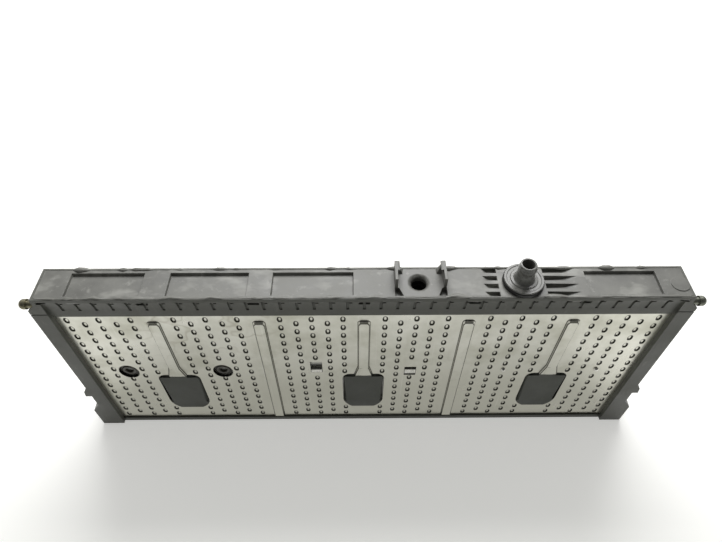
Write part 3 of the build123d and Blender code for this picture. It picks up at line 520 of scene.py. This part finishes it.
def windowShape(name, place, inset, front, back):
    # outline of a window: rounded top corners, lower edge drawn down to a short straight middle
    half = plate["windowWidth"] / 2 - inset
    shape = block(name, (place - half, front, plate["windowKnee"]),
                  (place + half, back, plate["windowTop"] - inset))
    drop = (plate["windowFoot"] + inset - plate["windowKnee"]) * mm
    share = plate["tongueWidth"] / plate["windowWidth"]
    selectFaces(shape, lambda f: f.normal.z < -0.9)
    bpy.ops.mesh.extrude_region_move(TRANSFORM_OT_translate={"value": (0, 0, drop)})
    bpy.ops.transform.resize(value=(share, 1, 1), center_override=(place * mm, 0, 0))
    bpy.ops.object.mode_set(mode="OBJECT")
    selectEdges(shape, lambda e: alongY(e) and e.verts[0].co.z > 0.1)
    bpy.ops.mesh.bevel(offset=plate["windowCorner"] * mm, segments=4, affect="EDGES")
    bpy.ops.object.mode_set(mode="OBJECT")
    selectEdges(shape, lambda e: alongY(e) and abs(e.verts[0].co.z - plate["windowKnee"] * mm) < 1e-4)
    bpy.ops.mesh.bevel(offset=plate["skirt"] * mm, segments=4, affect="EDGES")
    bpy.ops.object.mode_set(mode="OBJECT")
    return shape


windowBlock = {
    "clearance": 0.9, "proud": 1.2, "depth": 3.0, "chamfer": 3.2, "stepDrop": 4.2,
    "neckOverlap": 1.5, "softEdge": 0.3,
}


def windowCover(place):
    # moulded block that stands in a window, its side edges chamfered and its top set down beside the neck
    front, back = plate["faceY"] - windowBlock["proud"], plate["faceY"] + windowBlock["depth"]
    cover = windowShape("cover", place, windowBlock["clearance"], front, back)
    sideX = plate["windowWidth"] / 2 - windowBlock["clearance"] - 0.1

    def onFrontSide(vertex):
        return vertex.co.y < (front + 0.1) * mm and abs(vertex.co.x - place * mm) > sideX * mm

    selectEdges(cover, lambda e: all(onFrontSide(v) for v in e.verts))
    bpy.ops.mesh.bevel(offset=windowBlock["chamfer"] * mm, segments=1, affect="EDGES")
    bpy.ops.object.mode_set(mode="OBJECT")
    for side in (-1, 1):
        inner = place + side * (plate["neckWidth"] / 2 - windowBlock["neckOverlap"])
        low, high = sorted((inner, place + side * 30))
        boolean(cover, block("step", (low, front - 1, plate["windowTop"] - windowBlock["stepDrop"]),
                             (high, back + 1, plate["windowTop"] + 2)), "DIFFERENCE")
    return cover


skin = block("cold_plate_skin", (-plate["halfWidth"], plate["faceY"], plate["low"]),
             (plate["halfWidth"], plate["faceY"] + plate["gauge"], plate["high"]))
# a ridge over a window ends behind its block; the others run down to the foot
ridges = [ridgeBlock(x, plate["windowKnee"] if x in windowPlaces else plate["ridgeFoot"]) for x in boundaries]
boolean(skin, joined("ridges", ridges), "UNION")
boolean(skin, joined("necks", [neckBlock(x) for x in windowPlaces]), "UNION")
cuts = [windowShape("window", x, 0, -30, 0) for x in windowPlaces]
holeProfile = [(plate["holeRadius"], -1), (plate["holeRadius"], 31)]
for x in centres[:2]:
    cuts.append(turned("hole", (x, 0, plate["featureZ"]), holeProfile, 40, "-Y"))
    selectFaces(cuts[-1], lambda f: True)
    bpy.ops.mesh.region_to_loop()
    bpy.ops.mesh.edge_face_add()
    bpy.ops.mesh.select_all(action="SELECT")
    bpy.ops.transform.resize(value=(1, 1, plate["holeStretch"]),
                             center_override=(0, 0, plate["featureZ"] * mm))
    bpy.ops.object.mode_set(mode="OBJECT")
for x, (low, high) in zip(centres[2:4], plate["slotReach"]):
    half = plate["slotWidth"] / 2
    cuts.append(block("slot", (x - half, -30, low), (x + half, 0, high)))
boolean(skin, joined("cuts", cuts), "DIFFERENCE")
print("plate cut")

# one dimple punch, copied to every place
punch = turned("punch", (0, plate["faceY"], 0), plate["dimpleProfile"], plate["dimpleSegments"], "-Y")
selectEdges(punch, lambda e: False)
bpy.ops.mesh.select_non_manifold()
bpy.ops.mesh.edge_face_add()
bpy.ops.mesh.select_all(action="SELECT")
bpy.ops.transform.resize(value=(1, 1, plate["dimpleStretch"]), center_override=(0, 0, 0))
bpy.ops.object.mode_set(mode="OBJECT")
punches = []
for centre in centres:
    for column in range(plate["columns"]):
        x = centre + (column - (plate["columns"] - 1) / 2) * plate["columnPitch"]
        low = column % 2
        for row in range(plate["rows"] - low):
            z = plate["topRow"] - (row + low / 2) * plate["rowPitch"]
            if not dimpleFree(x, z):
                punches.append(duplicate(punch, (x, 0, z)))
bpy.data.objects.remove(punch)
boolean(skin, joined("punches", punches), "DIFFERENCE")
softenEdges(skin, plate["softEdge"], 2, 25)


# how much painted shade a wall gets, and how far a face must turn from the sheet to count as a wall
wallShadeShare = {
    "steep": 1.0, "steepTurn": 0.03, "slight": 0.5, "slightTurn": 0.01, "ridgeEdge": 0.9, "ridgeSlope": 0.25,
    # in metres from the face of the sheet: start of a dimple, top of a ridge's foot, start of its crown
    "pressed": 0.00005, "footTop": -0.00072, "crownStart": -0.00168,
}


def markSteepWalls(piece):
    # painted shade and dark reflection on the steep walls of dimples, ridges and holes
    grime = piece.data.attributes.new("grime", "FLOAT", "FACE")
    face = plate["faceY"] * mm
    for polygon in piece.data.polygons:
        depth = polygon.center.y - face
        turn = 1 + polygon.normal.y  # 0 on the face, 1 on a wall square to it
        share = 0.0
        if depth > wallShadeShare["pressed"]:
            if turn > wallShadeShare["steepTurn"]:
                share = wallShadeShare["steep"]
            elif turn > wallShadeShare["slightTurn"]:
                share = wallShadeShare["slight"]
        elif turn > wallShadeShare["steepTurn"]:
            onEdge = depth > wallShadeShare["footTop"] or depth < wallShadeShare["crownStart"]
            share = wallShadeShare["ridgeEdge"] if onEdge else wallShadeShare["ridgeSlope"]
        grime.data[polygon.index].value = share


markSteepWalls(skin)
skin.data.materials.clear()
skin.data.materials.append(sheetAluminium)
finishPiece(skin, "plate_aluminium", "cold_plate_outer")
print("plate dimpled", len(skin.data.polygons))

covers = joined("window_covers", [windowCover(x) for x in windowPlaces])
softenEdges(covers, windowBlock["softEdge"], 2, 25)
covers.data.materials.append(blockPlastic)
finishPiece(covers, "carrier_plastic")
print("window covers set")

# spring lips of the two slots: sheet bent in at the top, its front face bright
springLip = {
    "halfWidth": 6.2, "gauge": 0.6, "proud": 0.4, "foldBack": 4.2, "foldRise": 1.2, "softEdge": 0.15,
    # lower and upper edge of each lip, then the lean and length of the strip under the second
    "first": (116.2, 121.6), "second": (113.2, 120.6), "hemLean": 1.6, "hem": 4.2,
}


def bentLip(name, place, low, high, lean, hem):
    front = plate["faceY"] - springLip["proud"]
    lip = block(name, (place - springLip["halfWidth"], front, low),
                (place + springLip["halfWidth"], front + springLip["gauge"], high))
    selectFaces(lip, lambda f: f.normal.z > 0.9)
    fold = (0, springLip["foldBack"] * mm, springLip["foldRise"] * mm)
    bpy.ops.mesh.extrude_region_move(TRANSFORM_OT_translate={"value": fold})
    bpy.ops.object.mode_set(mode="OBJECT")
    if hem:
        # lower strip folded back under the lip
        selectFaces(lip, lambda f: f.normal.z < -0.9 and f.calc_center_median().z < (low + 0.1) * mm)
        bpy.ops.mesh.extrude_region_move(TRANSFORM_OT_translate={"value": (0, lean * mm, -hem * mm)})
        bpy.ops.object.mode_set(mode="OBJECT")
    softenEdges(lip, springLip["softEdge"], 2, 25)
    lip.data.materials.append(springSteel)
    return lip


firstLip = bentLip("spring_lip_1", centres[2], *springLip["first"], 0, 0)
secondLip = bentLip("spring_lip_2", centres[3], *springLip["second"],
                    springLip["hemLean"], springLip["hem"])
finishPiece(firstLip, "tab_steel", "spring_tab_1")
finishPiece(secondLip, "tab_steel", "spring_tab_2")
print("spring lips bent")


# coolant nipple: turned, beaded, on a stepped flange
nipple = {
    "x": 154.3, "bore": 6.0, "tube": 8.0, "bead": 8.9, "flange": 19.4, "spigot": 9.4,
    "foot": 248.5, "base": 264.0, "top": 286.5, "seal": 20.0, "sealInner": 10.0, "sealFoot": 260.0,
}
flangeBase, tubeTop = nipple["base"], nipple["top"]
nippleProfile = [
    (nipple["bore"], nipple["foot"]), (nipple["spigot"], nipple["foot"]),
    (nipple["spigot"], flangeBase), (nipple["flange"] - 0.4, flangeBase),
    (nipple["flange"], flangeBase + 0.4), (nipple["flange"], flangeBase + 1.3),
    (nipple["flange"] - 0.5, flangeBase + 1.8), (17.0, flangeBase + 1.8), (16.3, flangeBase + 1.2),
    (13.6, flangeBase + 1.2), (12.8, flangeBase + 2.0), (10.6, flangeBase + 2.2), (9.6, flangeBase + 3.2),
    (9.2, flangeBase + 5.0), (8.3, 275.0), (nipple["tube"], 278.6), (8.4, 279.3), (8.8, 280.2),
    (nipple["bead"], 281.0), (8.8, 281.8), (8.4, 282.7), (nipple["tube"], 283.4),
    (nipple["tube"], tubeTop - 0.7),
    (nipple["tube"] - 0.3, tubeTop - 0.2), (nipple["tube"] - 0.8, tubeTop), (nipple["bore"] + 0.4, tubeTop),
    (nipple["bore"], tubeTop - 0.4), (nipple["bore"], nipple["foot"]),
]
sealProfile = [
    (nipple["sealInner"], nipple["sealFoot"]), (nipple["seal"] - 0.5, nipple["sealFoot"]),
    (nipple["seal"], nipple["sealFoot"] + 0.6), (nipple["seal"], flangeBase - 0.8),
    (nipple["seal"] - 0.6, flangeBase), (nipple["sealInner"], flangeBase),
    (nipple["sealInner"], nipple["sealFoot"]),
]
for name, profile, finish, slotName, nodeName in (
        ("nipple_flat_seal", sealProfile, blackRubber, "seal_rubber", "nipple_seal_ring"),
        ("coolant_nipple_turned", nippleProfile, nipplePlastic, "nipple_plastic", "coolant_nipple")):
    lathed = turned(name, (nipple["x"], 0, 0), profile, 64)
    activate(lathed)
    bpy.ops.object.shade_smooth_by_angle(angle=math.radians(35))
    lathed.data.materials.append(finish)
    finishPiece(lathed, slotName, nodeName)
print("nipple turned")


# weld flash: a wavy roll of plastic squeezed out along both long edges of the rail
flash = {
    "halfLength": 312.0, "segments": 420, "wave": 0.8, "reachY": 19.9, "maxSwell": 0.42,
    # centre in depth and height, body and mound of each roll
    "rear": (18.3, 259.6, 0.8, 7.0), "front": (-18.2, 259.6, 1.0, 6.0),
    "rearDroop": (18.3, 255.4, 0.9, 3.0), "frontDroop": (-18.9, 256.2, 0.5, 6.5),
}


def weldFlash(name, seed, depth, height, body, mound):
    clearSelection()
    bpy.ops.mesh.primitive_cylinder_add(vertices=8, radius=mm, depth=2 * flash["halfLength"] * mm,
                                        rotation=(0, math.radians(90), 0))
    piece = bpy.context.object
    piece.name = piece.data.name = name
    applyPlace(piece)
    selectEdges(piece, lambda e: abs(e.verts[0].co.x - e.verts[1].co.x) > 0.1)
    bpy.ops.mesh.subdivide(number_cuts=flash["segments"])
    bpy.ops.object.mode_set(mode="OBJECT")
    for vertex in piece.data.vertices:
        x = vertex.co.x
        lumps = noise.noise(Vector((x * 52, seed, 0))) + 0.6 * noise.noise(Vector((x * 140, seed, 5)))
        swell = max(0.0, min(flash["maxSwell"], lumps - 0.02)) * mound
        fine = noise.noise(Vector((x * 230, seed + 4, 3)))
        share = max(0.3, body + swell + 0.5 * fine * (0.6 + swell))
        drift = noise.noise(Vector((x * 60, seed, 7))) * flash["wave"] * mm
        limit = flash["reachY"] * mm
        y = max(-limit, min(limit, vertex.co.y * share + depth * mm + drift))
        vertex.co = Vector((x, y, vertex.co.z * share * 0.8 + height * mm))
    activate(piece)
    bpy.ops.object.shade_smooth_by_angle(angle=math.radians(60))
    piece.data.materials.append(highlitFlashPlastic)
    finishPiece(piece, "rail_plastic")


weldFlash("rear_weld_flash", 2, *flash["rear"])
weldFlash("front_weld_flash", 5, *flash["front"])
weldFlash("rear_weld_droop", 7, *flash["rearDroop"])
weldFlash("front_weld_droop", 9, *flash["frontDroop"])
print("weld flash laid")


# floor, lamps and camera
studio = {
    "floorHex": "f4f4f1", "nearHex": "e6e7e2", "glow": 0.5, "key": 43.0, "world": 0.40, "frontDark": 0.05,
    "darkHeading": (0, -0.68, 0.73),
}
clearSelection()
bpy.ops.mesh.primitive_plane_add(size=9, location=(0, 0, 0))
floor = bpy.context.object
floor.name = "floor"
applyPlace(floor)
material, tree, shader, place = newMaterial("pale studio paper")
parts = addNode(tree, "ShaderNodeSeparateXYZ", {}, {"Vector": place})
# floor painted darker towards the front: a painted shade
frontShade = mapped(tree, parts.outputs["Y"], -0.05, -0.42, 0.0, 1.0)
tone = mixed(tree, frontShade, linearColour(studio["floorHex"]), linearColour(studio["nearHex"]))
tree.links.new(tone, shader.inputs["Base Color"])
shader.inputs["Roughness"].default_value = 0.9
path = addNode(tree, "ShaderNodeLightPath")
seen = addNode(tree, "ShaderNodeMath", {"operation": "MAXIMUM"},
               {0: path.outputs["Is Camera Ray"], 1: path.outputs["Is Glossy Ray"]})
seen = addNode(tree, "ShaderNodeMath", {"operation": "MAXIMUM"},
               {0: seen.outputs[0], 1: path.outputs["Is Transmission Ray"]})
glow = addNode(tree, "ShaderNodeMath", {"operation": "MULTIPLY"}, {0: seen.outputs[0], 1: studio["glow"]})
tree.links.new(tone, shader.inputs["Emission Color"])
tree.links.new(glow.outputs[0], shader.inputs["Emission Strength"])
floor.data.materials.append(material)

world = bpy.data.worlds.new("studio room")
bpy.context.scene.world = world
world.use_nodes = True
world.node_tree.nodes.clear()
tree = world.node_tree
path = addNode(tree, "ShaderNodeLightPath")
# the room is darker in front of and above the object
heading = addNode(tree, "ShaderNodeTexCoord").outputs["Generated"]
toward = addNode(tree, "ShaderNodeVectorMath", {"operation": "DOT_PRODUCT"},
                 {0: heading, 1: studio["darkHeading"]})
room = mapped(tree, toward.outputs["Value"], 0.4, 0.85, studio["world"], studio["frontDark"])
strength = addNode(tree, "ShaderNodeMapRange", {}, {
    "Value": path.outputs["Is Camera Ray"], "To Min": room, "To Max": 1.0})
back = addNode(tree, "ShaderNodeBackground", {}, {
    "Color": (1, 1, 1, 1), "Strength": strength.outputs["Result"]})
addNode(tree, "ShaderNodeOutputWorld", {}, {"Surface": back.outputs["Background"]})


def areaLamp(name, place, aim, size, sizeY, power):
    light = bpy.data.lights.new(name, "AREA")
    light.shape = "RECTANGLE"
    light.size, light.size_y, light.energy = size, sizeY, power
    lamp = bpy.data.objects.new(name, light)
    bpy.context.scene.collection.objects.link(lamp)
    lamp.location = place
    lamp.rotation_euler = (Vector(aim) - Vector(place)).to_track_quat("-Z", "Y").to_euler()


areaLamp("overhead softbox", (0.1, 1.25, 1.75), (0, 0, 0.2), 1.8, 1.1, studio["key"])

camera = bpy.data.cameras.new("camera")
cameraPiece = bpy.data.objects.new("camera", camera)
bpy.context.scene.collection.objects.link(cameraPiece)
camera.lens = 27.92
camera.sensor_width = 36
cameraPiece.location = (-0.008224, -0.344372, 0.680624)
cameraPiece.rotation_euler = (math.radians(40.5224), math.radians(-0.2390), math.radians(-0.5395))
bpy.context.scene.camera = cameraPiece
bpy.context.scene.view_settings.view_transform = "Standard"
print("studio set")
